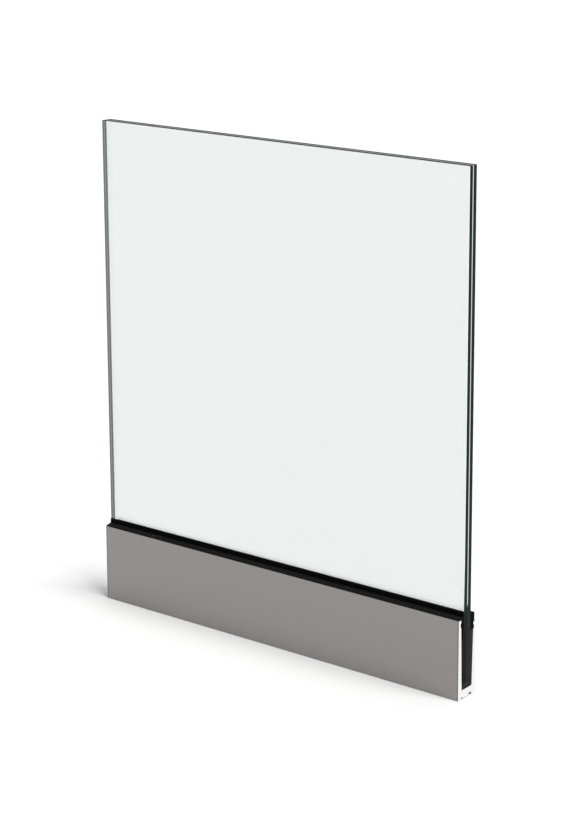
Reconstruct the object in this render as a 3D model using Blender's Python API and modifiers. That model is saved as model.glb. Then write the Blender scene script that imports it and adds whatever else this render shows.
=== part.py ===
"""Frameless glass guard: laminated glass clamped upright in an extruded base channel.

Metres, +Z up. The length runs along X, the thickness along Y with the front at -Y.
The origin is the centre of the underside of the channel.
"""

import math

import bmesh
import bpy
from mathutils import Matrix

MM = 0.001

# Overall sizes
GUARD_LENGTH = 526.0 * MM
GUARD_HEIGHT = 600.0 * MM

# Laminated glass
PLY_THICKNESS = 6.0 * MM
INTERLAYER_THICKNESS = 1.52 * MM
GLASS_ARRIS = 0.8 * MM            # ground chamfer round the edge of each sheet
INTERLAYER_SET_IN = 0.5 * MM      # the film ends this far inside the edge of the glass

# Base channel
FRONT_WALL_HEIGHT = 94.0 * MM
REAR_WALL_HEIGHT = 85.4 * MM
WALL_TOP_THICKNESS = 4.4 * MM
WALL_FOOT_THICKNESS = 6.8 * MM
WEB_THICKNESS = 10.8 * MM
FRONT_GAP = 2.8 * MM              # front wall to glass, measured at the cavity floor
REAR_GAP = 3.5 * MM               # glass to rear wall, measured at the cavity floor
CHANNEL_EDGE_RADIUS = 0.6 * MM
CAVITY_CORNER_RADIUS = 1.2 * MM

# Gasket grooves in the walls
GROOVE_DROP = 3.6 * MM            # top of the wall to the top of the groove
GROOVE_HEIGHT = 4.8 * MM
GROOVE_DEPTH = 1.2 * MM

# Underside, from the front edge to the rear edge
FRONT_FOOT_WIDTH = 5.0 * MM
FRONT_SLOT_WIDTH = 4.0 * MM
FRONT_SLOT_DEPTH = 2.2 * MM
REAR_SLOT_WIDTH = 6.4 * MM
REAR_SLOT_DEPTH = 3.4 * MM
REAR_FOOT_WIDTH = 7.3 * MM
LAND_RECESS = 1.0 * MM

# Countersunk screw holes in the web, along the middle of the land
SCREW_HOLE_DIAMETER = 6.6 * MM
SCREW_HEAD_DIAMETER = 12.6 * MM
SCREW_HEAD_ANGLE = math.radians(90.0)
SCREW_CUT_OVERRUN = 1.0 * MM      # the cutters reach this far past the web
SCREW_CUT_STEPS = 24

# Clamping stations: one setting block and one wedge each
STATION_COUNT = 3
STATION_END_INSET = 0.8 * MM
BLOCK_LENGTH = 64.0 * MM
BLOCK_FLOOR_THICKNESS = 5.6 * MM
BLOCK_LIP_HEIGHT = 2.8 * MM       # above the bottom edge of the glass
WEDGE_LENGTH = 56.0 * MM
WEDGE_LIFT = 12.5 * MM            # bottom edge of the glass to the bottom of the wedge
WEDGE_POCKET = 15.0 * MM          # top of the wedge to the gasket above it
WEDGE_LEAD_IN = 1.0 * MM

# Gaskets
GASKET_BARB_LEAD = 0.5 * MM       # sloped part at the bottom of the barb
GASKET_RIM_INSET = 0.5 * MM
GASKET_RIM_THICKNESS = 0.9 * MM
FRONT_CREASE_RISE = 2.5 * MM
FRONT_LIP_THICKNESS = 1.5 * MM
FRONT_LIP_TIP_THICKNESS = 0.7 * MM
FRONT_LIP_RISE = 8.4 * MM
REAR_RIM_INSET = 2.2 * MM
REAR_RIM_RISE = 10.4 * MM
REAR_HEAD_RISE = 12.0 * MM
REAR_HEAD_FLAT = 4.0 * MM

# Ribbed liner behind the glass
RIB_DEPTH = 1.1 * MM
RIB_PITCH = 6.8 * MM
RIB_TIP_WIDTH = 1.8 * MM
RIB_ROOT_WIDTH = 3.8 * MM
RIB_START_RISE = 30.0 * MM        # bottom edge of the glass to the ribbed part
RIB_END_SPACE = 1.0 * MM          # smooth strip below the first rib
SEAL_END_INSET = 0.4 * MM          # gaskets and liner end this far inside the channel's ends

# Clearances between neighbouring pieces
CLEARANCE = 0.3 * MM
LEG_END_RELIEF = 0.4 * MM         # bottom of the gasket groove to the end of the gasket's leg
BOND_GAP = 0.12 * MM              # between a glass sheet and the film

ARC_STEPS = 3

# Places that follow from the sizes above. The y values here are measured from the front face.
GLASS_THICKNESS = 2.0 * PLY_THICKNESS + INTERLAYER_THICKNESS
GLASS_FRONT = WALL_FOOT_THICKNESS + FRONT_GAP
GLASS_REAR = GLASS_FRONT + GLASS_THICKNESS
CHANNEL_WIDTH = GLASS_REAR + REAR_GAP + WALL_FOOT_THICKNESS
GLASS_BOTTOM = WEB_THICKNESS + CLEARANCE + BLOCK_FLOOR_THICKNESS + CLEARANCE
WALL_TAPER = (WALL_FOOT_THICKNESS - WALL_TOP_THICKNESS) / (FRONT_WALL_HEIGHT - WEB_THICKNESS)
LAND_START = FRONT_FOOT_WIDTH + FRONT_SLOT_WIDTH
LAND_END = CHANNEL_WIDTH - REAR_FOOT_WIDTH - REAR_SLOT_WIDTH


def wall_thickness(z):
    """Thickness of either channel wall at height z above the underside."""
    return WALL_FOOT_THICKNESS - WALL_TAPER * (z - WEB_THICKNESS)


def front_wall_face(z):
    """Inner face of the front wall, measured from the front of the channel."""
    return wall_thickness(z)


def rear_wall_face(z):
    """Inner face of the rear wall, measured from the front of the channel."""
    return CHANNEL_WIDTH - wall_thickness(z)


def arc(centre_y, centre_z, radius, start_deg, end_deg, steps=ARC_STEPS):
    """Points of a circular arc in the cross-section."""
    points = []
    for step in range(steps + 1):
        angle = math.radians(start_deg + (end_deg - start_deg) * step / steps)
        points.append((centre_y + radius * math.cos(angle), centre_z + radius * math.sin(angle)))
    return points


def clear_scene():
    for item in list(bpy.data.objects):
        bpy.data.objects.remove(item, do_unlink=True)


def new_collection(name):
    collection = bpy.data.collections.new(name)
    bpy.context.scene.collection.children.link(collection)
    return collection


def new_material(name, colour, roughness, metallic=0.0, alpha=1.0, transmission=0.0, ior=1.45):
    material = bpy.data.materials.new(name)
    material.use_nodes = True
    shader = material.node_tree.nodes["Principled BSDF"]
    shader.inputs["Base Color"].default_value = (*colour, 1.0)
    shader.inputs["Roughness"].default_value = roughness
    shader.inputs["Metallic"].default_value = metallic
    shader.inputs["Alpha"].default_value = alpha
    shader.inputs["Transmission Weight"].default_value = transmission
    shader.inputs["IOR"].default_value = ior
    return material


def add_object(name, mesh, collection, material, location):
    item = bpy.data.objects.new(name, mesh)
    item.location = location
    mesh.materials.clear()
    mesh.materials.append(material)
    collection.objects.link(item)
    return item


def extruded_mesh(name, outline, length):
    """Mesh of a cross-section outline (y, z) run along X, centred on x = 0."""
    curve = bpy.data.curves.new(name, "CURVE")
    curve.dimensions = "2D"
    curve.fill_mode = "BOTH"
    curve.extrude = length / 2.0
    spline = curve.splines.new("POLY")
    spline.points.add(len(outline) - 1)
    for point, (y, z) in zip(spline.points, outline):
        point.co = (y, z, 0.0, 1.0)
    spline.use_cyclic_u = True
    guide = bpy.data.objects.new(name + "_outline", curve)
    bpy.context.scene.collection.objects.link(guide)
    # The curve lies in its own XY plane: turn that plane to the object's YZ plane.
    guide.matrix_world = Matrix.Rotation(math.pi / 2, 4, "Z") @ Matrix.Rotation(math.pi / 2, 4, "X")
    bpy.context.view_layer.update()
    evaluated = guide.evaluated_get(bpy.context.evaluated_depsgraph_get())
    mesh = bpy.data.meshes.new_from_object(evaluated)
    mesh.name = name
    mesh.transform(guide.matrix_world)
    bpy.data.objects.remove(guide, do_unlink=True)
    bpy.data.curves.remove(curve)
    shape = bmesh.new()
    shape.from_mesh(mesh)
    bmesh.ops.remove_doubles(shape, verts=shape.verts, dist=1e-6)
    bmesh.ops.recalc_face_normals(shape, faces=shape.faces)
    shape.to_mesh(mesh)
    shape.free()
    return mesh


def extruded_part(name, outline, length, centre_x, collection, material):
    mesh = extruded_mesh(name, outline, length)
    return add_object(name, mesh, collection, material, (centre_x, -CHANNEL_WIDTH / 2.0, 0.0))


def box_part(name, size, centre, collection, material):
    mesh = bpy.data.meshes.new(name)
    shape = bmesh.new()
    bmesh.ops.create_cube(shape, size=1.0)
    bmesh.ops.scale(shape, vec=size, verts=shape.verts)
    shape.to_mesh(mesh)
    shape.free()
    return add_object(name, mesh, collection, material, centre)


def add_bevel(item, width, segments=1):
    bevel = item.modifiers.new("edge", "BEVEL")
    bevel.width = width
    bevel.segments = segments
    bevel.limit_method = "ANGLE"


def add_cut(item, cutter):
    cut = item.modifiers.new(cutter.name, "BOOLEAN")
    cut.operation = "DIFFERENCE"
    cut.solver = "EXACT"
    cut.object = cutter


def channel_outline():
    """Cross-section of the extrusion, from the front foot round to the start again."""
    edge = CHANNEL_EDGE_RADIUS
    front_top = FRONT_WALL_HEIGHT
    rear_top = REAR_WALL_HEIGHT
    outline = arc(edge, edge, edge, 270.0, 180.0)
    outline += arc(edge, front_top - edge, edge, 180.0, 90.0)
    outline += front_wall_inside()
    outline += rear_wall_inside()
    outline += arc(CHANNEL_WIDTH - edge, rear_top - edge, edge, 90.0, 0.0)
    outline += arc(CHANNEL_WIDTH - edge, edge, edge, 360.0, 270.0)
    outline += underside()
    return outline


def wall_inside_levels(top):
    """Heights of the gasket groove's edges below the top of a wall."""
    return top - GROOVE_DROP, top - GROOVE_DROP - GROOVE_HEIGHT


def front_wall_inside():
    groove_top, groove_bottom = wall_inside_levels(FRONT_WALL_HEIGHT)
    corner = CAVITY_CORNER_RADIUS
    points = [(front_wall_face(FRONT_WALL_HEIGHT), FRONT_WALL_HEIGHT)]
    points.append((front_wall_face(groove_top), groove_top))
    points.append((front_wall_face(groove_top) - GROOVE_DEPTH, groove_top))
    points.append((front_wall_face(groove_bottom) - GROOVE_DEPTH, groove_bottom))
    points.append((front_wall_face(groove_bottom), groove_bottom))
    centre = (front_wall_face(WEB_THICKNESS) + corner, WEB_THICKNESS + corner)
    points += arc(*centre, corner, 180.0, 270.0)
    return points


def rear_wall_inside():
    groove_top, groove_bottom = wall_inside_levels(REAR_WALL_HEIGHT)
    corner = CAVITY_CORNER_RADIUS
    centre = (rear_wall_face(WEB_THICKNESS) - corner, WEB_THICKNESS + corner)
    points = arc(*centre, corner, 270.0, 360.0)
    points.append((rear_wall_face(groove_bottom), groove_bottom))
    points.append((rear_wall_face(groove_bottom) + GROOVE_DEPTH, groove_bottom))
    points.append((rear_wall_face(groove_top) + GROOVE_DEPTH, groove_top))
    points.append((rear_wall_face(groove_top), groove_top))
    points.append((rear_wall_face(REAR_WALL_HEIGHT), REAR_WALL_HEIGHT))
    return points


def underside():
    """Underside from the rear foot to the front foot: two slots and a raised land."""
    rear_slot_end = CHANNEL_WIDTH - REAR_FOOT_WIDTH
    return [
        (rear_slot_end, 0.0),
        (rear_slot_end, REAR_SLOT_DEPTH),
        (LAND_END, REAR_SLOT_DEPTH),
        (LAND_END, LAND_RECESS),
        (LAND_START, LAND_RECESS),
        (LAND_START, FRONT_SLOT_DEPTH),
        (FRONT_FOOT_WIDTH, FRONT_SLOT_DEPTH),
        (FRONT_FOOT_WIDTH, 0.0),
    ]


def screw_cutter(name, x, collection):
    """Turned cutter for one countersunk hole, standing on the z axis of the hole."""
    hole_radius = SCREW_HOLE_DIAMETER / 2.0
    head_radius = SCREW_HEAD_DIAMETER / 2.0
    cone_height = (head_radius - hole_radius) / math.tan(SCREW_HEAD_ANGLE / 2.0)
    over = SCREW_CUT_OVERRUN
    # A short straight part above the cone passes through the cavity floor.
    profile = [
        (0.0, WEB_THICKNESS + over),
        (head_radius, WEB_THICKNESS + over),
        (head_radius, WEB_THICKNESS),
        (hole_radius, WEB_THICKNESS - cone_height),
        (hole_radius, -over),
        (0.0, -over),
    ]
    mesh = bpy.data.meshes.new(name)
    shape = bmesh.new()
    verts = [shape.verts.new((radius, 0.0, z)) for radius, z in profile]
    for first, second in zip(verts, verts[1:]):
        shape.edges.new((first, second))
    shape.to_mesh(mesh)
    shape.free()
    cutter = bpy.data.objects.new(name, mesh)
    y = (LAND_START + LAND_END) / 2.0 - CHANNEL_WIDTH / 2.0
    cutter.location = (x, y, 0.0)
    collection.objects.link(cutter)
    turn = cutter.modifiers.new("turn", "SCREW")
    turn.steps = SCREW_CUT_STEPS
    turn.render_steps = SCREW_CUT_STEPS
    turn.use_merge_vertices = True
    turn.merge_threshold = 0.00001
    cutter.hide_render = True
    cutter.display_type = "WIRE"
    return cutter


def station_positions(length):
    """Centres along X of pieces of this length at the clamping stations."""
    reach = GUARD_LENGTH / 2.0 - STATION_END_INSET - length / 2.0
    if STATION_COUNT == 1:
        return [0.0]
    return [-reach + 2.0 * reach * index / (STATION_COUNT - 1) for index in range(STATION_COUNT)]


def screw_positions():
    """One screw hole midway between each two neighbouring setting blocks."""
    centres = station_positions(BLOCK_LENGTH)
    return [(first + second) / 2.0 for first, second in zip(centres, centres[1:])]


def build_channel(parts, cutters, material):
    channel = extruded_part("base_channel", channel_outline(), GUARD_LENGTH, 0.0, parts, material)
    for index, x in enumerate(screw_positions(), start=1):
        add_cut(channel, screw_cutter(f"screw_hole_cutter_{index}", x, cutters))
    return channel


def build_glass(parts, glass, film):
    height = GUARD_HEIGHT - GLASS_BOTTOM
    middle_z = GLASS_BOTTOM + height / 2.0
    ply_size = (GUARD_LENGTH, PLY_THICKNESS, height)
    front_y = GLASS_FRONT + PLY_THICKNESS / 2.0 - CHANNEL_WIDTH / 2.0
    rear_y = GLASS_REAR - PLY_THICKNESS / 2.0 - CHANNEL_WIDTH / 2.0
    film_y = (front_y + rear_y) / 2.0
    film_size = (
        GUARD_LENGTH - 2.0 * INTERLAYER_SET_IN,
        INTERLAYER_THICKNESS - 2.0 * BOND_GAP,
        height - 2.0 * INTERLAYER_SET_IN,
    )
    front = box_part("glass_ply_front", ply_size, (0.0, front_y, middle_z), parts, glass)
    rear = box_part("glass_ply_rear", ply_size, (0.0, rear_y, middle_z), parts, glass)
    box_part("glass_interlayer", film_size, (0.0, film_y, middle_z), parts, film)
    add_bevel(front, GLASS_ARRIS)
    add_bevel(rear, GLASS_ARRIS)


def gasket_leg_bottom(top):
    """End of a gasket's leg, just above the bottom of the groove in a wall of this height."""
    return wall_inside_levels(top)[1] + LEG_END_RELIEF


def front_gasket_outline():
    """Cap on the front wall, a lip up the glass and a leg with a barb in the groove."""
    top = FRONT_WALL_HEIGHT
    groove_top = wall_inside_levels(top)[0]
    leg_bottom = gasket_leg_bottom(top)
    barb_bottom = leg_bottom + GASKET_BARB_LEAD
    glass_side = GLASS_FRONT - CLEARANCE
    return [
        (GASKET_RIM_INSET, top + CLEARANCE),
        (GASKET_RIM_INSET, top + CLEARANCE + GASKET_RIM_THICKNESS),
        (glass_side - FRONT_LIP_THICKNESS, top + FRONT_CREASE_RISE),
        (glass_side - FRONT_LIP_TIP_THICKNESS, top + FRONT_LIP_RISE),
        (glass_side, top + FRONT_LIP_RISE),
        (glass_side, leg_bottom),
        (front_wall_face(leg_bottom) + CLEARANCE, leg_bottom),
        (front_wall_face(leg_bottom) + CLEARANCE - GROOVE_DEPTH, barb_bottom),
        (front_wall_face(groove_top) + CLEARANCE - GROOVE_DEPTH, groove_top - CLEARANCE),
        (front_wall_face(groove_top) + CLEARANCE, groove_top - CLEARANCE),
        (front_wall_face(top) + CLEARANCE, top + CLEARANCE),
    ]


def rear_gasket_outline():
    """Block on the rear wall, flat at the glass and sloping outwards, with a barbed leg."""
    top = REAR_WALL_HEIGHT
    groove_top = wall_inside_levels(top)[0]
    leg_bottom = gasket_leg_bottom(top)
    barb_bottom = leg_bottom + GASKET_BARB_LEAD
    glass_side = GLASS_REAR + CLEARANCE
    rim = CHANNEL_WIDTH - REAR_RIM_INSET
    return [
        (glass_side, top + REAR_HEAD_RISE),
        (glass_side + REAR_HEAD_FLAT, top + REAR_HEAD_RISE),
        (rim, top + REAR_RIM_RISE),
        (rim, top + CLEARANCE),
        (rear_wall_face(top) - CLEARANCE, top + CLEARANCE),
        (rear_wall_face(groove_top) - CLEARANCE, groove_top - CLEARANCE),
        (rear_wall_face(groove_top) - CLEARANCE + GROOVE_DEPTH, groove_top - CLEARANCE),
        (rear_wall_face(leg_bottom) - CLEARANCE + GROOVE_DEPTH, barb_bottom),
        (rear_wall_face(leg_bottom) - CLEARANCE, leg_bottom),
        (glass_side, leg_bottom),
    ]


def liner_outline():
    """Strip behind the glass. Its upper part is ribbed towards the rear wall."""
    bottom = GLASS_BOTTOM + BLOCK_LIP_HEIGHT + CLEARANCE
    top = gasket_leg_bottom(REAR_WALL_HEIGHT) - CLEARANCE
    glass_side = GLASS_REAR + CLEARANCE
    half_root = RIB_ROOT_WIDTH / 2.0
    half_tip = RIB_TIP_WIDTH / 2.0
    smooth_end = GLASS_BOTTOM + RIB_START_RISE
    outline = [(glass_side, bottom), (rear_wall_face(bottom) - CLEARANCE, bottom)]
    outline.append((rear_wall_face(smooth_end) - CLEARANCE, smooth_end))
    outline.append((rear_wall_face(smooth_end) - CLEARANCE - RIB_DEPTH, smooth_end + RIB_DEPTH))
    rib = smooth_end + RIB_DEPTH + RIB_END_SPACE + half_root
    while rib + half_root < top:
        root = rear_wall_face(rib) - CLEARANCE - RIB_DEPTH
        outline.append((root, rib - half_root))
        outline.append((root + RIB_DEPTH, rib - half_tip))
        outline.append((root + RIB_DEPTH, rib + half_tip))
        outline.append((root, rib + half_root))
        rib += RIB_PITCH
    outline.append((rear_wall_face(top) - CLEARANCE - RIB_DEPTH, top))
    outline.append((glass_side, top))
    return outline


def block_outline():
    """U-shaped setting block: a floor under the glass and a low lip on each side."""
    corner = CAVITY_CORNER_RADIUS
    floor = WEB_THICKNESS + CLEARANCE
    seat = floor + BLOCK_FLOOR_THICKNESS
    lip_top = GLASS_BOTTOM + BLOCK_LIP_HEIGHT
    front_foot = front_wall_face(floor) + CLEARANCE
    rear_foot = rear_wall_face(floor) - CLEARANCE
    return [
        (front_foot + corner, floor),
        (rear_foot - corner, floor),
        (rear_foot, floor + corner),
        (rear_wall_face(lip_top) - CLEARANCE, lip_top),
        (GLASS_REAR + CLEARANCE, lip_top),
        (GLASS_REAR + CLEARANCE, seat),
        (GLASS_FRONT - CLEARANCE, seat),
        (GLASS_FRONT - CLEARANCE, lip_top),
        (front_wall_face(lip_top) + CLEARANCE, lip_top),
        (front_foot, floor + corner),
    ]


def wedge_outline():
    """Wedge with its outer face along the tapered wall and its inner face along the glass."""
    bottom = GLASS_BOTTOM + WEDGE_LIFT
    top = gasket_leg_bottom(FRONT_WALL_HEIGHT) - WEDGE_POCKET
    glass_side = GLASS_FRONT - CLEARANCE
    return [
        (glass_side, bottom),
        (glass_side, top),
        (front_wall_face(top) + CLEARANCE, top),
        (front_wall_face(bottom + WEDGE_LEAD_IN) + CLEARANCE, bottom + WEDGE_LEAD_IN),
        (front_wall_face(bottom) + CLEARANCE + WEDGE_LEAD_IN / 2.0, bottom),
    ]


def build_seals(parts, rubber, plastic):
    seal_length = GUARD_LENGTH - 2.0 * SEAL_END_INSET
    extruded_part("front_gasket", front_gasket_outline(), seal_length, 0.0, parts, rubber)
    extruded_part("rear_gasket", rear_gasket_outline(), seal_length, 0.0, parts, rubber)
    extruded_part("rear_liner", liner_outline(), seal_length, 0.0, parts, plastic)


def build_stations(parts, plastic):
    for index, x in enumerate(station_positions(BLOCK_LENGTH), start=1):
        extruded_part(f"setting_block_{index}", block_outline(), BLOCK_LENGTH, x, parts, plastic)
    for index, x in enumerate(station_positions(WEDGE_LENGTH), start=1):
        extruded_part(f"clamping_wedge_{index}", wedge_outline(), WEDGE_LENGTH, x, parts, plastic)


def main():
    clear_scene()
    parts = new_collection("glass_guard")
    cutters = new_collection("cutters")
    aluminium = new_material("anodised aluminium", (0.29, 0.27, 0.26), 0.38, metallic=0.9)
    glass = new_material("clear float glass", (0.93, 0.97, 0.96), 0.02, alpha=0.35,
                         transmission=1.0, ior=1.52)
    film = new_material("laminating film", (0.96, 0.98, 0.97), 0.05, alpha=0.35,
                        transmission=1.0, ior=1.49)
    rubber = new_material("black rubber", (0.008, 0.008, 0.008), 0.6)
    plastic = new_material("charcoal plastic", (0.03, 0.032, 0.034), 0.5)
    build_channel(parts, cutters, aluminium)
    build_glass(parts, glass, film)
    build_seals(parts, rubber, plastic)
    build_stations(parts, plastic)


main()
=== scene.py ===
"""Looks of a frameless glass guard: laminated glass in an extruded aluminium base channel."""
import math

import bmesh
import bpy
from mathutils import Matrix, Vector


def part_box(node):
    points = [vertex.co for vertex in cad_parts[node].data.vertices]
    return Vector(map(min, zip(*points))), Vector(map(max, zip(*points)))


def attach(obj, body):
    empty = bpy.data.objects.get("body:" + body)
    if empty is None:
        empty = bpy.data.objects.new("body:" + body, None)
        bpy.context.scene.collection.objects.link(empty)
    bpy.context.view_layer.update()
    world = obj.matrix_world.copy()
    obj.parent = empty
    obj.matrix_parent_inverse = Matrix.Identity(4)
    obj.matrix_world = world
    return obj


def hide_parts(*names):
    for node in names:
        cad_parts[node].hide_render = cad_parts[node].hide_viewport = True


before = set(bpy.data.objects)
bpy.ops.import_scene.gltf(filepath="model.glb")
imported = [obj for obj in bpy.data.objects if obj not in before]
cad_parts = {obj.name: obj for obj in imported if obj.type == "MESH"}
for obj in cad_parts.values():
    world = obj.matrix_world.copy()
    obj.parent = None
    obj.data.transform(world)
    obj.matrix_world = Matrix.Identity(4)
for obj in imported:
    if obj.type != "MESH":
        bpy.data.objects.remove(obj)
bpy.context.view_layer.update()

MM = 0.001
BODY = "root"

# ---------------------------------------------------------------- sizes of the pieces
# A cross-section is drawn in y, from the front face of the channel, and z, from its feet.

# Base channel
WALL_TOP_THICKNESS = 4.4 * MM
WALL_FOOT_THICKNESS = 6.8 * MM
WEB_THICKNESS = 10.8 * MM
REAR_WALL_HEIGHT = 85.4 * MM
GROOVE_DROP = 3.6 * MM            # top of a wall to the gasket groove inside it
GROOVE_HEIGHT = 4.8 * MM
GROOVE_DEPTH = 1.2 * MM
FRONT_FOOT_WIDTH = 5.0 * MM
FRONT_SLOT_WIDTH = 4.0 * MM
FRONT_SLOT_DEPTH = 2.2 * MM
REAR_SLOT_WIDTH = 6.4 * MM
REAR_SLOT_DEPTH = 3.4 * MM
REAR_FOOT_WIDTH = 7.3 * MM
LAND_RECESS = 1.0 * MM            # the land between the slots stands clear of the counter
SCREW_HOLE_RADIUS = 3.3 * MM
SCREW_HEAD_RADIUS = 6.3 * MM
SCREW_HOLE_SIDES = 48
EXTRUSION_EDGE = 0.6 * MM
EXTRUSION_NICK = 0.25 * MM        # small corners inside the extrusion
CAVITY_CORNER = 1.2 * MM
SAW_EDGE = 0.2 * MM               # deburred edge of the cut ends

# Glass and film
GLASS_ARRIS = 0.3 * MM
GLASS_INNER_ARRIS = 0.12 * MM     # against the film
GLASS_CORNER = 0.5 * MM
FILM_EDGE = 0.1 * MM
FILM_CLEARANCE = 0.01 * MM        # keeps the film's faces off the glass

# Gaskets
CLEARANCE = 0.3 * MM              # between neighbouring pieces
RUBBER_EDGE = 0.35 * MM
RUBBER_END_EDGE = 0.15 * MM
CAP_RIM_HEIGHT = 0.9 * MM
CAP_RIM_EDGE = 0.6 * MM
CREASE_REACH = 1.5 * MM           # glass to the crease between the front cap and its lip
CREASE_RISE = 2.5 * MM
CREASE_EDGE = 0.5 * MM
LIP_TIP_THICKNESS = 0.7 * MM
LIP_EDGE = 0.2 * MM
LEG_DRAFT = 0.1 * MM
BARB_RISE = 0.5 * MM
BARB_EDGE = 0.25 * MM
REAR_RIM_INSET = 2.2 * MM
REAR_RIM_RISE = 10.4 * MM
REAR_RIM_EDGE = 0.9 * MM
REAR_HEAD_FLAT = 4.0 * MM
REAR_HEAD_EDGE = 0.8 * MM
REAR_GASKET_EDGE = 0.3 * MM

# Ribbed liner
RIB_START_RISE = 30.0 * MM        # bottom edge of the glass to the ribbed part
RIB_END_SPACE = 1.0 * MM          # smooth strip below the first rib
RIB_DEPTH = 1.1 * MM
RIB_PITCH = 6.8 * MM
RIB_ROOT_WIDTH = 3.8 * MM
RIB_TIP_WIDTH = 1.8 * MM
RIB_ROOT_EDGE = 0.4 * MM
RIB_TIP_EDGE = 0.5 * MM
LINER_EDGE = 0.3 * MM
LINER_FOOT_EDGE = 0.6 * MM

# Setting blocks and wedges
MOULDED_EDGE = 0.4 * MM
MOULDED_END_EDGE = 0.3 * MM       # kept under every corner radius, so no end folds over itself
WEDGE_TOP_EDGE = 0.7 * MM
WEDGE_LEAD = 1.0 * MM             # slant that starts the wedge into its gap

# ---------------------------------------------------------------- places from the frame
channel_low, channel_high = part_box("base_channel")
front_ply_low, front_ply_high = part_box("glass_ply_front")
rear_ply_low, rear_ply_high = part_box("glass_ply_rear")

FRONT_FACE = channel_low.y
CHANNEL_WIDTH = channel_high.y - channel_low.y
FRONT_WALL_HEIGHT = channel_high.z
GLASS_FRONT = front_ply_low.y - FRONT_FACE
GLASS_REAR = rear_ply_high.y - FRONT_FACE
GLASS_BOTTOM = front_ply_low.z
WALL_TAPER = (WALL_FOOT_THICKNESS - WALL_TOP_THICKNESS) / (FRONT_WALL_HEIGHT - WEB_THICKNESS)
SEAL_TOP = FRONT_WALL_HEIGHT + 8.0 * MM


def front_wall_face(z):
    """The inner face of the front wall, which is thicker towards its foot."""
    return WALL_FOOT_THICKNESS - WALL_TAPER * (z - WEB_THICKNESS)


def rear_wall_face(z):
    return CHANNEL_WIDTH - front_wall_face(z)


# ---------------------------------------------------------------- materials
FIRST_COLOUR = 6                  # sockets of a Mix node that blends colours
SECOND_COLOUR = 7
BLENDED_COLOUR = 2
PATTERN_SPAN = {"From Min": 0.3, "From Max": 0.7}     # where most of a cloudy pattern lies
GLASS_IOR = 1.52
FILM_IOR = 1.48


def colour(hex_value):
    """Linear colour from an sRGB hex value such as #8090a0."""
    channels = []
    for start in (1, 3, 5):
        value = int(hex_value[start:start + 2], 16) / 255.0
        channels.append(value / 12.92 if value <= 0.04045 else ((value + 0.055) / 1.055) ** 2.4)
    return (*channels, 1.0)


def add_node(tree, kind, inputs=None, **settings):
    """Adds a node with its settings, and sets each input or links it to another node's output."""
    new = tree.nodes.new("ShaderNode" + kind)
    for name, value in settings.items():
        setattr(new, name, value)
    for key, value in (inputs or {}).items():
        if isinstance(value, bpy.types.NodeSocket):
            tree.links.new(value, new.inputs[key])
        else:
            new.inputs[key].default_value = value
    return new


def new_material(name):
    material = bpy.data.materials.new(name)
    material.use_nodes = True
    material.node_tree.nodes.clear()
    return material, material.node_tree


def give_surface(tree, inputs):
    """Ends a material: its surface shader, joined to the output."""
    shader = add_node(tree, "BsdfPrincipled", inputs)
    add_node(tree, "OutputMaterial", {"Surface": shader.outputs["BSDF"]})


def cloudy_pattern(tree, sizes, detail):
    """A soft pattern from 0 to 1, its patches this many millimetres long in x, y and z."""
    place = add_node(tree, "TexCoord").outputs["Object"]
    scale = [1.0 / (size * MM) for size in sizes]
    scaled = add_node(tree, "Mapping", {"Vector": place, "Scale": scale}).outputs["Vector"]
    noise = add_node(tree, "TexNoise", {"Vector": scaled, "Scale": 1.0, "Detail": detail})
    return noise.outputs["Fac"]


def daylight(tree, start, end):
    """Runs from 0 to 1 as the height rises from start to end: no light gets in below the seals."""
    place = add_node(tree, "TexCoord").outputs["Object"]
    height = add_node(tree, "SeparateXYZ", {"Vector": place}).outputs["Z"]
    lit = add_node(tree, "MapRange", {"Value": height, "From Min": start, "From Max": end})
    return lit.outputs["Result"]


def anodised_aluminium():
    """Extruded aluminium, etched and anodised to a warm satin grey.

    The die leaves fine lines along the length, and the etch makes a soft sheen with hardly any
    sparkle. Lines 0.3 mm apart are too fine to show, so they are drawn about 1.5 mm apart. The
    saw dulls the skin in a thin darker line along each cut.
    """
    material, tree = new_material("satin anodised aluminium extrusion")
    lines = cloudy_pattern(tree, (900.0, 1.5, 1.5), 2.0)
    clouds = cloudy_pattern(tree, (90.0, 90.0, 90.0), 2.0)
    drawn = add_node(
        tree, "Mix",
        {"Factor": lines, FIRST_COLOUR: colour("#8c8986"), SECOND_COLOUR: colour("#928f8c")},
        data_type="RGBA",
    ).outputs[BLENDED_COLOUR]
    share = add_node(tree, "MapRange", {"Value": clouds, **PATTERN_SPAN, "To Max": 0.4})
    clouded = add_node(
        tree, "Mix",
        {"Factor": share.outputs["Result"], FIRST_COLOUR: drawn, SECOND_COLOUR: colour("#8e8b88")},
        data_type="RGBA",
    ).outputs[BLENDED_COLOUR]
    place = add_node(tree, "TexCoord").outputs["Object"]
    along = add_node(tree, "SeparateXYZ", {"Vector": place}).outputs["X"]
    from_middle = add_node(tree, "Math", {0: along}, operation="ABSOLUTE").outputs["Value"]
    burr_start = channel_high.x - 2.2 * MM
    burr_end = channel_high.x - 1.4 * MM
    burr = add_node(
        tree, "MapRange", {"Value": from_middle, "From Min": burr_start, "From Max": burr_end}
    )
    tone = add_node(
        tree, "Mix",
        {"Factor": burr.outputs["Result"], FIRST_COLOUR: clouded, SECOND_COLOUR: colour("#797874")},
        data_type="RGBA",
    ).outputs[BLENDED_COLOUR]
    rough = add_node(
        tree, "MapRange", {"Value": lines, **PATTERN_SPAN, "To Min": 0.34, "To Max": 0.42}
    )
    relief = add_node(tree, "Bump", {"Height": lines, "Distance": 0.01 * MM, "Strength": 0.5})
    give_surface(tree, {
        "Base Color": tone,
        "Metallic": 1.0,
        "Roughness": rough.outputs["Result"],
        "Normal": relief.outputs["Normal"],
    })
    return material


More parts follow.
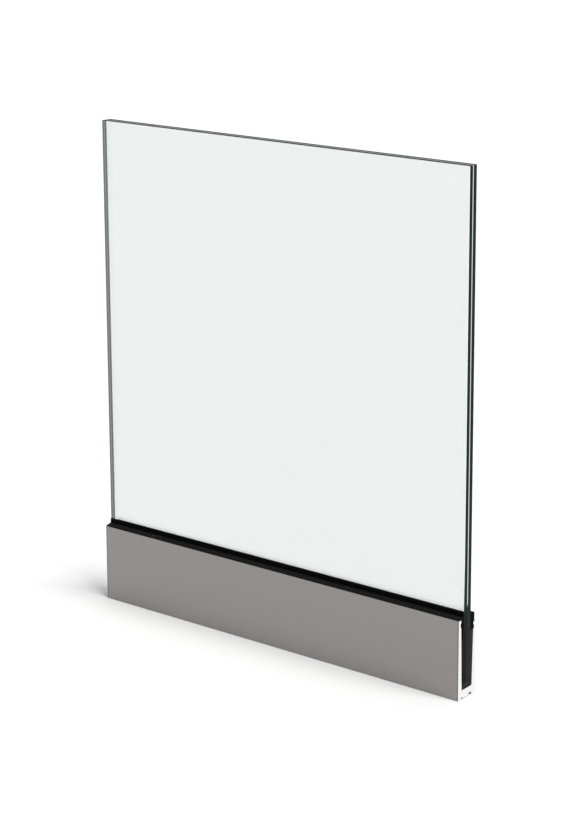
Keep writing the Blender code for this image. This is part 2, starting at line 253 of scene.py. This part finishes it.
def sawn_aluminium():
    """Bare aluminium where the extrusion was sawn to length, brighter than the anodised skin.

    The blade leaves a torn skin that scatters the light, an even, near-white end with no mirror
    sheen, and curved marks about 0.8 mm apart, drawn 1.6 mm apart so that they show. The marks
    are arcs round the blade's centre, which lies well outside the channel.
    """
    material, tree = new_material("saw-cut aluminium")
    place = add_node(tree, "TexCoord").outputs["Object"]
    scale = 1.0 / (10.0 * MM)
    from_blade = add_node(
        tree, "Mapping",
        {"Vector": place, "Location": (0.0, 9.0, 4.0), "Scale": (0.0, scale, scale)},
    ).outputs["Vector"]
    marks = add_node(
        tree, "TexWave",
        {"Vector": from_blade, "Scale": 2.0, "Distortion": 1.5, "Detail": 2.0},
        wave_type="RINGS", rings_direction="X",
    ).outputs["Fac"]
    tone = add_node(
        tree, "Mix",
        {"Factor": marks, FIRST_COLOUR: colour("#b8b8b7"), SECOND_COLOUR: colour("#c4c4c3")},
        data_type="RGBA",
    ).outputs[BLENDED_COLOUR]
    rough = add_node(tree, "MapRange", {"Value": marks, "To Min": 0.9, "To Max": 1.0})
    relief = add_node(tree, "Bump", {"Height": marks, "Distance": 0.01 * MM, "Strength": 0.4})
    give_surface(tree, {
        "Base Color": tone,
        "Metallic": 1.0,
        "Roughness": rough.outputs["Result"],
        "Normal": relief.outputs["Normal"],
    })
    return material


def float_glass():
    """Clear float glass: flat, polished by the tin bath, with the slight green of its iron."""
    material, tree = new_material("clear float glass")
    ripple = cloudy_pattern(tree, (260.0, 260.0, 260.0), 1.0)
    tone = add_node(
        tree, "Mix",
        {"Factor": ripple, FIRST_COLOUR: colour("#f3f5f4"), SECOND_COLOUR: colour("#f4f5f5")},
        data_type="RGBA",
    ).outputs[BLENDED_COLOUR]
    give_surface(tree, {
        "Base Color": tone,
        "Roughness": 0.0,
        "IOR": GLASS_IOR,
        "Transmission Weight": 1.0,
    })
    return material


def ground_glass_arris():
    """The narrow chamfer ground along the outer edges of the glass: fine-ground, pale and matte."""
    material, tree = new_material("ground glass arris")
    grit = cloudy_pattern(tree, (0.8, 0.8, 0.8), 2.0)
    pale = add_node(
        tree, "Mix",
        {"Factor": grit, FIRST_COLOUR: colour("#a9aeac"), SECOND_COLOUR: colour("#c0c4c2")},
        data_type="RGBA",
    ).outputs[BLENDED_COLOUR]
    # Painted shade: below the seals the arris is painted near black, as no light gets in there.
    lit = daylight(tree, SEAL_TOP, SEAL_TOP + 60.0 * MM)
    tone = add_node(
        tree, "Mix",
        {"Factor": lit, FIRST_COLOUR: colour("#161b1a"), SECOND_COLOUR: pale},
        data_type="RGBA",
    ).outputs[BLENDED_COLOUR]
    rough = add_node(
        tree, "MapRange", {"Value": grit, **PATTERN_SPAN, "To Min": 0.35, "To Max": 0.5}
    )
    give_surface(tree, {
        "Base Color": tone,
        "Roughness": rough.outputs["Result"],
        "IOR": GLASS_IOR,
        "Specular IOR Level": 0.1,
    })
    return material


def polished_glass_edge(name, shade_below_seals):
    """The polished end of a glass sheet. Looking in, the eye meets the green-black of its length.

    Below the seals the end is painted a set dark tone: painted shade, as no light gets in there.
    """
    material, tree = new_material(name)
    depth = cloudy_pattern(tree, (40.0, 4.0, 60.0), 1.0)
    green = add_node(
        tree, "Mix",
        {"Factor": depth, FIRST_COLOUR: colour("#090e0d"), SECOND_COLOUR: colour("#111715")},
        data_type="RGBA",
    ).outputs[BLENDED_COLOUR]
    # Painted shade: below the seals the end takes the dark tone passed in.
    lit = daylight(tree, SEAL_TOP - 6.0 * MM, SEAL_TOP)
    tone = add_node(
        tree, "Mix",
        {"Factor": lit, FIRST_COLOUR: colour(shade_below_seals), SECOND_COLOUR: green},
        data_type="RGBA",
    ).outputs[BLENDED_COLOUR]
    give_surface(tree, {
        "Base Color": tone,
        "Roughness": 0.12,
        "IOR": GLASS_IOR,
        "Specular IOR Level": 0.03,
    })
    return material


def seamed_glass_edge(name, dark, pale):
    """An edge ground flat with a fine wheel: a matte grey-green."""
    material, tree = new_material(name)
    grit = cloudy_pattern(tree, (30.0, 0.8, 30.0), 2.0)
    tone = add_node(
        tree, "Mix",
        {"Factor": grit, FIRST_COLOUR: colour(dark), SECOND_COLOUR: colour(pale)},
        data_type="RGBA",
    ).outputs[BLENDED_COLOUR]
    rough = add_node(
        tree, "MapRange", {"Value": grit, **PATTERN_SPAN, "To Min": 0.4, "To Max": 0.5}
    )
    give_surface(tree, {
        "Base Color": tone,
        "Roughness": rough.outputs["Result"],
        "IOR": GLASS_IOR,
        "Specular IOR Level": 0.02,
    })
    return material


def film_edge():
    """The clear plastic film between the sheets, trimmed flush: its cut edge is a pale line.

    Down between the rubber strips and in the channel no light reaches its edge, and it is dark.
    """
    material, tree = new_material("laminating film")
    lit = daylight(tree, SEAL_TOP + 4.0 * MM, SEAL_TOP + 9.0 * MM)
    tone = add_node(
        tree, "Mix",
        {"Factor": lit, FIRST_COLOUR: colour("#0a0d0c"), SECOND_COLOUR: colour("#838c89")},
        data_type="RGBA",
    ).outputs[BLENDED_COLOUR]
    give_surface(tree, {
        "Base Color": tone,
        "Roughness": 0.35,
        "IOR": FILM_IOR,
        "Specular IOR Level": 0.1,
    })
    return material


def film_face():
    """The same film seen through the flat of the glass, where it can't be told from the glass."""
    material, tree = new_material("laminating film face")
    give_surface(tree, {
        "Base Color": colour("#fbfcfc"),
        "Roughness": 0.0,
        "IOR": FILM_IOR,
        "Transmission Weight": 1.0,
    })
    return material


def extruded_rubber():
    """Black EPDM rubber, extruded: matte and near black.

    The faces that look up are painted a little greyer than the lip: painted light from above.
    """
    material, tree = new_material("extruded black rubber")
    bloom = cloudy_pattern(tree, (60.0, 3.0, 3.0), 3.0)
    grain = cloudy_pattern(tree, (1.2, 1.2, 1.2), 2.0)
    bare = add_node(
        tree, "Mix",
        {"Factor": bloom, FIRST_COLOUR: colour("#020202"), SECOND_COLOUR: colour("#050505")},
        data_type="RGBA",
    ).outputs[BLENDED_COLOUR]
    # Painted light: the greyer tone for the faces that look up.
    painted_top_light = add_node(
        tree, "Mix",
        {"Factor": bloom, FIRST_COLOUR: colour("#0c0c0c"), SECOND_COLOUR: colour("#131313")},
        data_type="RGBA",
    ).outputs[BLENDED_COLOUR]
    facing = add_node(tree, "NewGeometry").outputs["Normal"]
    up = add_node(tree, "SeparateXYZ", {"Vector": facing}).outputs["Z"]
    share = add_node(tree, "MapRange", {"Value": up, "From Min": 0.3, "From Max": 0.7})
    tone = add_node(
        tree, "Mix",
        {"Factor": share.outputs["Result"], FIRST_COLOUR: bare, SECOND_COLOUR: painted_top_light},
        data_type="RGBA",
    ).outputs[BLENDED_COLOUR]
    rough = add_node(
        tree, "MapRange", {"Value": grain, **PATTERN_SPAN, "To Min": 0.5, "To Max": 0.64}
    )
    relief = add_node(tree, "Bump", {"Height": grain, "Distance": 0.02 * MM, "Strength": 0.5})
    give_surface(tree, {
        "Base Color": tone,
        "Roughness": rough.outputs["Result"],
        "Specular IOR Level": 0.015,
        "Normal": relief.outputs["Normal"],
    })
    return material


def moulded_plastic():
    """Glass-filled polyamide, injection moulded: charcoal, with a fine spark-eroded texture."""
    material, tree = new_material("moulded charcoal polyamide")
    grain = cloudy_pattern(tree, (0.9, 0.9, 0.9), 2.0)
    flow = cloudy_pattern(tree, (30.0, 30.0, 30.0), 2.0)
    share = add_node(tree, "MapRange", {"Value": flow, **PATTERN_SPAN})
    tone = add_node(
        tree, "Mix",
        {
            "Factor": share.outputs["Result"],
            FIRST_COLOUR: colour("#0e0e10"),
            SECOND_COLOUR: colour("#17171a"),
        },
        data_type="RGBA",
    ).outputs[BLENDED_COLOUR]
    rough = add_node(
        tree, "MapRange", {"Value": grain, **PATTERN_SPAN, "To Min": 0.46, "To Max": 0.6}
    )
    relief = add_node(tree, "Bump", {"Height": grain, "Distance": 0.03 * MM, "Strength": 0.5})
    give_surface(tree, {
        "Base Color": tone,
        "Roughness": rough.outputs["Result"],
        "IOR": 1.53,
        "Specular IOR Level": 0.05,
        "Normal": relief.outputs["Normal"],
    })
    return material


def extruded_plastic():
    """Grey-black rigid PVC, extruded: a low sheen with faint lines along the length."""
    material, tree = new_material("extruded grey-black PVC")
    lines = cloudy_pattern(tree, (500.0, 1.2, 1.2), 2.0)
    tone = add_node(
        tree, "Mix",
        {"Factor": lines, FIRST_COLOUR: colour("#0f1011"), SECOND_COLOUR: colour("#181a1b")},
        data_type="RGBA",
    ).outputs[BLENDED_COLOUR]
    rough = add_node(
        tree, "MapRange", {"Value": lines, **PATTERN_SPAN, "To Min": 0.4, "To Max": 0.5}
    )
    relief = add_node(tree, "Bump", {"Height": lines, "Distance": 0.02 * MM, "Strength": 0.5})
    give_surface(tree, {
        "Base Color": tone,
        "Roughness": rough.outputs["Result"],
        "IOR": 1.54,
        "Specular IOR Level": 0.05,
        "Normal": relief.outputs["Normal"],
    })
    return material


def studio_paper():
    """White seamless studio paper: matte, with a very soft cloudiness."""
    material, tree = new_material("white studio paper")
    clouds = cloudy_pattern(tree, (400.0, 400.0, 400.0), 2.0)
    tone = add_node(
        tree, "Mix",
        {"Factor": clouds, FIRST_COLOUR: colour("#aeaeae"), SECOND_COLOUR: colour("#b0b0b0")},
        data_type="RGBA",
    ).outputs[BLENDED_COLOUR]
    give_surface(tree, {
        "Base Color": tone,
        "Roughness": 0.9,
        "Specular IOR Level": 0.0,
    })
    return material


# ---------------------------------------------------------------- mesh tools
ARC_STEPS = 6                     # facets of a rounded corner
END_STEPS = 3                     # facets of a rounded end edge
ARC_SHARE = 0.45                  # most of a side that one corner's rounding may take up
STEEPEST_LEAN = 0.3               # limits how far a sharp corner moves when an outline shrinks
SOFT_ANGLE = math.radians(30.0)   # edges over this angle stay sharp
TOUCH = 0.01 * MM
FLAT = 0.99                       # a face whose normal goes this far along an axis is square to it
SLANT = 0.3                       # and one that goes this far leans towards it
MOSTLY = 0.5


def rounded_outline(corners):
    """Points round a closed outline whose corners are (y, z, radius)."""
    points = []
    for index, (y, z, radius) in enumerate(corners):
        here = Vector((y, z))
        before = Vector(corners[index - 1][:2]) - here
        after = Vector(corners[(index + 1) % len(corners)][:2]) - here
        half = before.angle(after) / 2.0
        room = ARC_SHARE * min(before.length, after.length) * math.tan(half)
        radius = min(radius, room)
        before.normalize()
        after.normalize()
        centre = here + (before + after).normalized() * (radius / math.sin(half))
        first = here + before * (radius / math.tan(half)) - centre
        last = here + after * (radius / math.tan(half)) - centre
        sweep = math.atan2(first.x * last.y - first.y * last.x, first.dot(last))
        for step in range(ARC_STEPS + 1):
            points.append(centre + Matrix.Rotation(sweep * step / ARC_STEPS, 2) @ first)
    return points


def inset_outline(points, distance):
    """The closed outline moved inwards by a distance, corner by corner."""
    area = sum(a.x * b.y - b.x * a.y for a, b in zip(points, points[1:] + points[:1]))
    side = 1.0 if area > 0.0 else -1.0
    moved = []
    for index, here in enumerate(points):
        before = (here - points[index - 1]).normalized()
        after = (points[(index + 1) % len(points)] - here).normalized()
        normal = Vector((-(before.y + after.y), before.x + after.x)).normalized() * side
        lean = max(normal.dot(Vector((-after.y, after.x)) * side), STEEPEST_LEAN)
        moved.append(here + normal * (distance / lean))
    return moved


def finished_mesh(name, shape):
    mesh = bpy.data.meshes.new(name)
    shape.to_mesh(mesh)
    shape.free()
    return mesh


def extruded_mesh(name, outline, start, end, edge):
    """A cross-section run from x = start to x = end, with both end edges rounded by edge.

    Faces of the ends and of their rounded edges use the second material slot.
    """
    rings = []
    for step in range(END_STEPS, -1, -1):
        angle = math.pi / 2.0 * step / END_STEPS
        shrunk = inset_outline(outline, edge * (1.0 - math.cos(angle)))
        rings.append((start + edge * (1.0 - math.sin(angle)), shrunk))
    for step in range(END_STEPS + 1):
        angle = math.pi / 2.0 * step / END_STEPS
        shrunk = inset_outline(outline, edge * (1.0 - math.cos(angle)))
        rings.append((end - edge * (1.0 - math.sin(angle)), shrunk))
    shape = bmesh.new()
    made = []
    for x, ring in rings:
        made.append([shape.verts.new((x, FRONT_FACE + point.x, point.y)) for point in ring])
    for number, (ring, following) in enumerate(zip(made, made[1:])):
        for index in range(len(ring)):
            after = (index + 1) % len(ring)
            face = shape.faces.new((ring[index], ring[after], following[after], following[index]))
            face.material_index = 0 if number == END_STEPS else 1
    shape.faces.new(made[0]).material_index = 1
    shape.faces.new(made[-1]).material_index = 1
    bmesh.ops.recalc_face_normals(shape, faces=shape.faces)
    if shape.calc_volume(signed=True) < 0.0:
        bmesh.ops.reverse_faces(shape, faces=shape.faces)
    return finished_mesh(name, shape)


def block_shape(low, high):
    shape = bmesh.new()
    bmesh.ops.create_cube(shape, size=1.0)
    bmesh.ops.scale(shape, vec=high - low, verts=shape.verts)
    bmesh.ops.translate(shape, vec=(low + high) / 2.0, verts=shape.verts)
    return shape


def chamfer(shape, edges, width, facets=1):
    bmesh.ops.bevel(
        shape, geom=edges, offset=width, offset_type="OFFSET", segments=facets, profile=0.5,
        affect="EDGES",
    )


def add_piece(name, mesh, node, slot, *materials):
    """Puts a mesh in the scene as the piece that stands for one node of the model."""
    piece = bpy.data.objects.new(name, mesh)
    bpy.context.scene.collection.objects.link(piece)
    for material in materials:
        mesh.materials.append(material)
    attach(piece, BODY)
    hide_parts(node)
    return piece


def smooth(piece):
    """Smooth shading that keeps flat faces flat and sharp edges sharp."""
    piece.data.shade_smooth()
    piece.data.set_sharp_from_angle(angle=SOFT_ANGLE)
    weighted = piece.modifiers.new("flat faces stay flat", "WEIGHTED_NORMAL")
    weighted.keep_sharp = True


def cut_holes(piece, cutters):
    """Cuts the cutters out of a piece and removes them."""
    for cutter in cutters:
        cut = piece.modifiers.new("hole", "BOOLEAN")
        cut.operation = "DIFFERENCE"
        cut.solver = "EXACT"
        cut.object = cutter
    bpy.context.view_layer.update()
    evaluated = piece.evaluated_get(bpy.context.evaluated_depsgraph_get())
    mesh = bpy.data.meshes.new_from_object(evaluated)
    piece.modifiers.clear()
    old = piece.data
    mesh.name = old.name
    piece.data = mesh
    bpy.data.meshes.remove(old)
    for cutter in cutters:
        bpy.data.objects.remove(cutter, do_unlink=True)


# ---------------------------------------------------------------- base channel
def channel_corners():
    """Corners (y, z, radius) of the extrusion's cross-section."""
    front_top = FRONT_WALL_HEIGHT
    rear_top = REAR_WALL_HEIGHT
    edge = EXTRUSION_EDGE
    nick = EXTRUSION_NICK
    corners = [(0.0, 0.0, edge), (0.0, front_top, edge), (front_wall_face(front_top), front_top, edge)]
    groove_top = front_top - GROOVE_DROP
    groove_bottom = groove_top - GROOVE_HEIGHT
    corners.append((front_wall_face(groove_top), groove_top, nick))
    corners.append((front_wall_face(groove_top) - GROOVE_DEPTH, groove_top, nick))
    corners.append((front_wall_face(groove_bottom) - GROOVE_DEPTH, groove_bottom, nick))
    corners.append((front_wall_face(groove_bottom), groove_bottom, nick))
    corners.append((front_wall_face(WEB_THICKNESS), WEB_THICKNESS, CAVITY_CORNER))
    corners.append((rear_wall_face(WEB_THICKNESS), WEB_THICKNESS, CAVITY_CORNER))
    groove_top = rear_top - GROOVE_DROP
    groove_bottom = groove_top - GROOVE_HEIGHT
    corners.append((rear_wall_face(groove_bottom), groove_bottom, nick))
    corners.append((rear_wall_face(groove_bottom) + GROOVE_DEPTH, groove_bottom, nick))
    corners.append((rear_wall_face(groove_top) + GROOVE_DEPTH, groove_top, nick))
    corners.append((rear_wall_face(groove_top), groove_top, nick))
    corners.append((rear_wall_face(rear_top), rear_top, edge))
    corners.append((CHANNEL_WIDTH, rear_top, edge))
    corners.append((CHANNEL_WIDTH, 0.0, edge))
    rear_slot_end = CHANNEL_WIDTH - REAR_FOOT_WIDTH
    land_start, land_end = land_span()
    corners.append((rear_slot_end, 0.0, nick))
    corners.append((rear_slot_end, REAR_SLOT_DEPTH, nick))
    corners.append((land_end, REAR_SLOT_DEPTH, nick))
    corners.append((land_end, LAND_RECESS, nick))
    corners.append((land_start, LAND_RECESS, nick))
    corners.append((land_start, FRONT_SLOT_DEPTH, nick))
    corners.append((FRONT_FOOT_WIDTH, FRONT_SLOT_DEPTH, nick))
    corners.append((FRONT_FOOT_WIDTH, 0.0, nick))
    return corners


def land_span():
    """Where the land between the two slots of the underside starts and ends."""
    return FRONT_FOOT_WIDTH + FRONT_SLOT_WIDTH, CHANNEL_WIDTH - REAR_FOOT_WIDTH - REAR_SLOT_WIDTH


def screw_hole_cutter(x):
    """A turned cutter for one countersunk hole through the web."""
    cone = SCREW_HEAD_RADIUS - SCREW_HOLE_RADIUS
    over = 1.0 * MM
    profile = [
        (SCREW_HOLE_RADIUS, -over),
        (SCREW_HOLE_RADIUS, WEB_THICKNESS - cone),
        (SCREW_HEAD_RADIUS, WEB_THICKNESS),
        (SCREW_HEAD_RADIUS, WEB_THICKNESS + over),
    ]
    turn = [math.tau * side / SCREW_HOLE_SIDES for side in range(SCREW_HOLE_SIDES)]
    shape = bmesh.new()
    rings = []
    for radius, z in profile:
        rings.append([shape.verts.new((radius * math.cos(a), radius * math.sin(a), z)) for a in turn])
    for low, high in zip(rings, rings[1:]):
        for side in range(SCREW_HOLE_SIDES):
            after = (side + 1) % SCREW_HOLE_SIDES
            shape.faces.new((low[side], low[after], high[after], high[side]))
    shape.faces.new(rings[0])
    shape.faces.new(rings[-1])
    bmesh.ops.recalc_face_normals(shape, faces=shape.faces)
    name = "screw_hole_cutter"
    cutter = bpy.data.objects.new(name, finished_mesh(name, shape))
    cutter.location = (x, FRONT_FACE + sum(land_span()) / 2.0, 0.0)
    bpy.context.scene.collection.objects.link(cutter)
    return cutter


def block_middle(number):
    low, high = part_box(f"setting_block_{number}")
    return (low.x + high.x) / 2.0


def station_count():
    return sum(1 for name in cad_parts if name.startswith("setting_block_"))


def make_channel(anodised, sawn):
    outline = rounded_outline(channel_corners())
    mesh = extruded_mesh("channel_extrusion", outline, channel_low.x, channel_high.x, SAW_EDGE)
    piece = add_piece("channel_extrusion", mesh, "base_channel", "anodised_aluminium", anodised, sawn)
    middles = [block_middle(number) for number in range(1, station_count() + 1)]
    cut_holes(piece, [screw_hole_cutter((a + b) / 2.0) for a, b in zip(middles, middles[1:])])
    smooth(piece)


# ---------------------------------------------------------------- laminated glass
CLEAR_SLOT = 0
ARRIS_SLOT = 1
NEAR_END_SLOT = 2
TOP_SLOT = 3
FAR_END_SLOT = 4
FILM_FACE_SLOT = 0
FILM_EDGE_SLOT = 1
FILM_FAR_END_SLOT = 2


def let_light_through(pane):
    """A clear pane leaves the light on the floor and on the pieces behind it as it is."""
    pane.visible_shadow = False
    pane.visible_diffuse = False


def glass_face_slot(face, outer_y):
    """The slot of one face of a sheet, by where it looks and where it lies."""
    normal = face.normal
    if abs(normal.y) > FLAT:
        return CLEAR_SLOT
    if normal.x < -SLANT:
        return FAR_END_SLOT
    if normal.z > SLANT:
        return TOP_SLOT
    if abs(normal.y) > SLANT and abs(face.calc_center_median().y - outer_y) < GLASS_ARRIS:
        return ARRIS_SLOT
    if normal.x > MOSTLY:
        return NEAR_END_SLOT
    return TOP_SLOT


def make_glass_sheet(name, node, outer_y, inner_y, materials):
    """One sheet: two clear faces, an arris round the outer one and ground or polished edges."""
    low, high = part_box(node)
    shape = block_shape(low, high)
    across = [edge for edge in shape.edges if abs(edge.verts[0].co.y - edge.verts[1].co.y) > MM]
    chamfer(shape, across, GLASS_CORNER)
    for y, width in ((outer_y, GLASS_ARRIS), (inner_y, GLASS_INNER_ARRIS)):
        rim = [edge for edge in shape.edges if all(abs(vert.co.y - y) < TOUCH for vert in edge.verts)]
        chamfer(shape, rim, width)
    shape.normal_update()
    for face in shape.faces:
        face.material_index = glass_face_slot(face, outer_y)
    let_light_through(add_piece(name, finished_mesh(name, shape), node, "glass", *materials))


def make_film(materials):
    """The film fills the space between the two sheets, a hair clear of each."""
    clear = FILM_CLEARANCE
    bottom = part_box("glass_interlayer")[0].z
    low = Vector((front_ply_low.x + clear, front_ply_high.y + clear, bottom))
    high = Vector((front_ply_high.x - clear, rear_ply_low.y - clear, front_ply_high.z - clear))
    shape = block_shape(low, high)
    chamfer(shape, list(shape.edges), FILM_EDGE, facets=2)
    for face in shape.faces:
        if abs(face.normal.y) > FLAT:
            face.material_index = FILM_FACE_SLOT
        else:
            face.material_index = FILM_FAR_END_SLOT if face.normal.x < -SLANT else FILM_EDGE_SLOT
    mesh = finished_mesh("laminated_film", shape)
    let_light_through(
        add_piece("laminated_film", mesh, "glass_interlayer", "laminating_film", *materials)
    )


def make_glass():
    clear = float_glass()
    arris = ground_glass_arris()
    top = seamed_glass_edge("seamed glass edge", "#0b0e0d", "#161a18")
    # Painted light: the far ends of the sheets and of the film are painted paler than the near ends,
    # as they are seen lit through the glass.
    far_end = seamed_glass_edge("far glass end, painted light", "#313634", "#3e4341")
    far_film = seamed_glass_edge("far film end, painted light", "#5d6361", "#6c7270")
    # The last colour of each polished end is painted shade, for the end below the seals.
    front_end = polished_glass_edge("polished front glass edge", "#060808")
    rear_end = polished_glass_edge("polished rear glass edge", "#0e1412")
    make_glass_sheet(
        "front_glass_sheet", "glass_ply_front", front_ply_low.y, front_ply_high.y,
        (clear, arris, front_end, top, far_end),
    )
    make_glass_sheet(
        "rear_glass_sheet", "glass_ply_rear", rear_ply_high.y, rear_ply_low.y,
        (clear, arris, rear_end, top, far_end),
    )
    make_film((film_face(), film_edge(), far_film))


# ---------------------------------------------------------------- gaskets and liner
def front_gasket_corners():
    """Cap on the front wall with a crease, a thin lip up the glass and a barbed leg."""
    low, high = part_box("front_gasket")
    top = FRONT_WALL_HEIGHT
    leg = low.z
    glass = GLASS_FRONT - CLEARANCE
    rim = low.y - FRONT_FACE
    groove_top = top - GROOVE_DROP - CLEARANCE
    wall = front_wall_face(groove_top) + CLEARANCE
    edge = RUBBER_EDGE
    return [
        (rim, top + CLEARANCE, LIP_EDGE),
        (rim, top + CLEARANCE + CAP_RIM_HEIGHT, CAP_RIM_EDGE),
        (glass - CREASE_REACH, top + CREASE_RISE, CREASE_EDGE),
        (glass - LIP_TIP_THICKNESS, high.z, edge),
        (glass, high.z, LIP_EDGE),
        (glass, leg, edge),
        (wall + LEG_DRAFT, leg, edge),
        (wall - GROOVE_DEPTH, leg + BARB_RISE, edge),
        (wall - GROOVE_DEPTH, groove_top, BARB_EDGE),
        (wall, groove_top, edge),
        (front_wall_face(top) + CLEARANCE, top + CLEARANCE, edge),
    ]


def rear_gasket_corners():
    """Rounded block on the rear wall with a barbed leg."""
    low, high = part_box("rear_gasket")
    top = REAR_WALL_HEIGHT
    leg = low.z
    glass = GLASS_REAR + CLEARANCE
    rim = CHANNEL_WIDTH - REAR_RIM_INSET
    groove_top = top - GROOVE_DROP - CLEARANCE
    wall = rear_wall_face(groove_top) - CLEARANCE
    edge = RUBBER_EDGE
    return [
        (glass, high.z, REAR_GASKET_EDGE),
        (glass + REAR_HEAD_FLAT, high.z, REAR_HEAD_EDGE),
        (rim, top + REAR_RIM_RISE, REAR_RIM_EDGE),
        (rim, top + CLEARANCE, REAR_GASKET_EDGE),
        (rear_wall_face(top) - CLEARANCE, top + CLEARANCE, edge),
        (wall, groove_top, edge),
        (wall + GROOVE_DEPTH, groove_top, BARB_EDGE),
        (wall + GROOVE_DEPTH, leg + BARB_RISE, edge),
        (wall - LEG_DRAFT, leg, edge),
        (glass, leg, edge),
    ]


def liner_corners():
    """Strip behind the glass, ribbed towards the rear wall over its upper part."""
    low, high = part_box("rear_liner")
    glass = GLASS_REAR + CLEARANCE
    bottom = low.z
    top = high.z
    ribs_start = GLASS_BOTTOM + RIB_START_RISE
    smooth_face = rear_wall_face(ribs_start) - CLEARANCE
    corners = [
        (glass, bottom, LINER_EDGE),
        (rear_wall_face(bottom) - CLEARANCE, bottom, LINER_FOOT_EDGE),
        (smooth_face, ribs_start, RIB_ROOT_EDGE),
        (smooth_face - RIB_DEPTH, ribs_start + RIB_DEPTH, RIB_ROOT_EDGE),
    ]
    half_root = RIB_ROOT_WIDTH / 2.0
    half_tip = RIB_TIP_WIDTH / 2.0
    rib = ribs_start + RIB_DEPTH + RIB_END_SPACE + half_root
    while rib + half_root < top:
        root = rear_wall_face(rib) - CLEARANCE - RIB_DEPTH
        corners.append((root, rib - half_root, RIB_ROOT_EDGE))
        corners.append((root + RIB_DEPTH, rib - half_tip, RIB_TIP_EDGE))
        corners.append((root + RIB_DEPTH, rib + half_tip, RIB_TIP_EDGE))
        corners.append((root, rib + half_root, RIB_ROOT_EDGE))
        rib += RIB_PITCH
    corners.append((rear_wall_face(top) - CLEARANCE - RIB_DEPTH, top, RIB_ROOT_EDGE))
    corners.append((glass, top, LINER_EDGE))
    return corners


def make_strips(rubber, plastic):
    strips = (
        ("front_cover_gasket", "front_gasket", front_gasket_corners(), "black_rubber", rubber),
        ("rear_cover_gasket", "rear_gasket", rear_gasket_corners(), "black_rubber", rubber),
        ("ribbed_liner", "rear_liner", liner_corners(), "charcoal_plastic", plastic),
    )
    for name, node, corners, slot, material in strips:
        low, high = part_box(node)
        mesh = extruded_mesh(name, rounded_outline(corners), low.x, high.x, RUBBER_END_EDGE)
        smooth(add_piece(name, mesh, node, slot, material, material))


# ---------------------------------------------------------------- setting blocks and wedges
def block_corners(low, high):
    """U-shaped setting block: a floor under the glass and a low lip on each side."""
    floor = low.z
    lip_top = high.z
    seat = GLASS_BOTTOM - CLEARANCE
    foot_edge = CAVITY_CORNER + CLEARANCE
    edge = MOULDED_EDGE
    return [
        (front_wall_face(floor) + CLEARANCE, floor, foot_edge),
        (rear_wall_face(floor) - CLEARANCE, floor, foot_edge),
        (rear_wall_face(lip_top) - CLEARANCE, lip_top, edge),
        (GLASS_REAR + CLEARANCE, lip_top, edge),
        (GLASS_REAR + CLEARANCE, seat, edge),
        (GLASS_FRONT - CLEARANCE, seat, edge),
        (GLASS_FRONT - CLEARANCE, lip_top, edge),
        (front_wall_face(lip_top) + CLEARANCE, lip_top, edge),
    ]


def wedge_corners(low, high):
    """Wedge: outer face along the tapered wall, inner face along the glass."""
    bottom = low.z
    top = high.z
    glass = GLASS_FRONT - CLEARANCE
    lead = WEDGE_LEAD
    edge = MOULDED_EDGE
    return [
        (glass, bottom, edge),
        (glass, top, edge),
        (front_wall_face(top) + CLEARANCE, top, WEDGE_TOP_EDGE),
        (front_wall_face(bottom + lead) + CLEARANCE, bottom + lead, edge),
        (front_wall_face(bottom) + CLEARANCE + lead / 2.0, bottom, edge),
    ]


def make_stations(plastic):
    for number in range(1, station_count() + 1):
        for kind, corners_of in (("setting_block", block_corners), ("clamping_wedge", wedge_corners)):
            node = f"{kind}_{number}"
            low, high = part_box(node)
            outline = rounded_outline(corners_of(low, high))
            name = f"moulded_{node}"
            mesh = extruded_mesh(name, outline, low.x, high.x, MOULDED_END_EDGE)
            smooth(add_piece(name, mesh, node, "charcoal_plastic", plastic, plastic))


# ---------------------------------------------------------------- studio
FLOOR_SIZE = 60.0
STUDIO_BRIGHTNESS = 1.07          # as bright as the lit floor, so that no horizon shows
KEY_BRIGHTNESS = 7.5
KEY_SPREAD = math.radians(50.0)
KEY_DIRECTION = Vector((-1.0, 0.10, -0.75))
CAMERA_PLACE = (1.5277, -1.9157, 0.9987)
CAMERA_TILT = math.radians(12.48)
CAMERA_HEADING = math.radians(37.08)
CAMERA_LENS = 97.5
CAMERA_SENSOR = 36.0
CAMERA_SHIFT = (-0.061, -0.174)


def make_floor():
    bpy.ops.mesh.primitive_plane_add(size=FLOOR_SIZE, location=(0.0, 0.0, 0.0))
    floor = bpy.context.object
    floor.name = "studio_floor"
    floor.data.materials.append(studio_paper())


def make_lights():
    """White studio all round, and one very large soft light high on the right."""
    world = bpy.data.worlds.new("white studio")
    world.use_nodes = True
    background = world.node_tree.nodes["Background"]
    background.inputs["Color"].default_value = (1.0, 1.0, 1.0, 1.0)
    background.inputs["Strength"].default_value = STUDIO_BRIGHTNESS
    bpy.context.scene.world = world
    data = bpy.data.lights.new("soft key", "SUN")
    data.energy = KEY_BRIGHTNESS
    data.angle = KEY_SPREAD
    key = bpy.data.objects.new("soft key", data)
    key.rotation_euler = KEY_DIRECTION.to_track_quat("-Z", "Y").to_euler()
    bpy.context.scene.collection.objects.link(key)


def make_camera():
    """Long lens from the front right, a little above, with the view shifted down."""
    data = bpy.data.cameras.new("camera")
    data.sensor_width = CAMERA_SENSOR
    data.lens = CAMERA_LENS
    data.shift_x, data.shift_y = CAMERA_SHIFT
    data.clip_start = 0.05
    data.clip_end = 100.0
    camera = bpy.data.objects.new("camera", data)
    camera.location = CAMERA_PLACE
    camera.rotation_euler = (math.pi / 2.0 - CAMERA_TILT, 0.0, CAMERA_HEADING)
    bpy.context.scene.collection.objects.link(camera)
    bpy.context.scene.camera = camera


make_channel(anodised_aluminium(), sawn_aluminium())
make_glass()
make_strips(extruded_rubber(), extruded_plastic())
make_stations(moulded_plastic())
make_floor()
make_lights()
make_camera()
bpy.context.scene.view_settings.view_transform = "Standard"
bpy.context.scene.view_settings.look = "None"
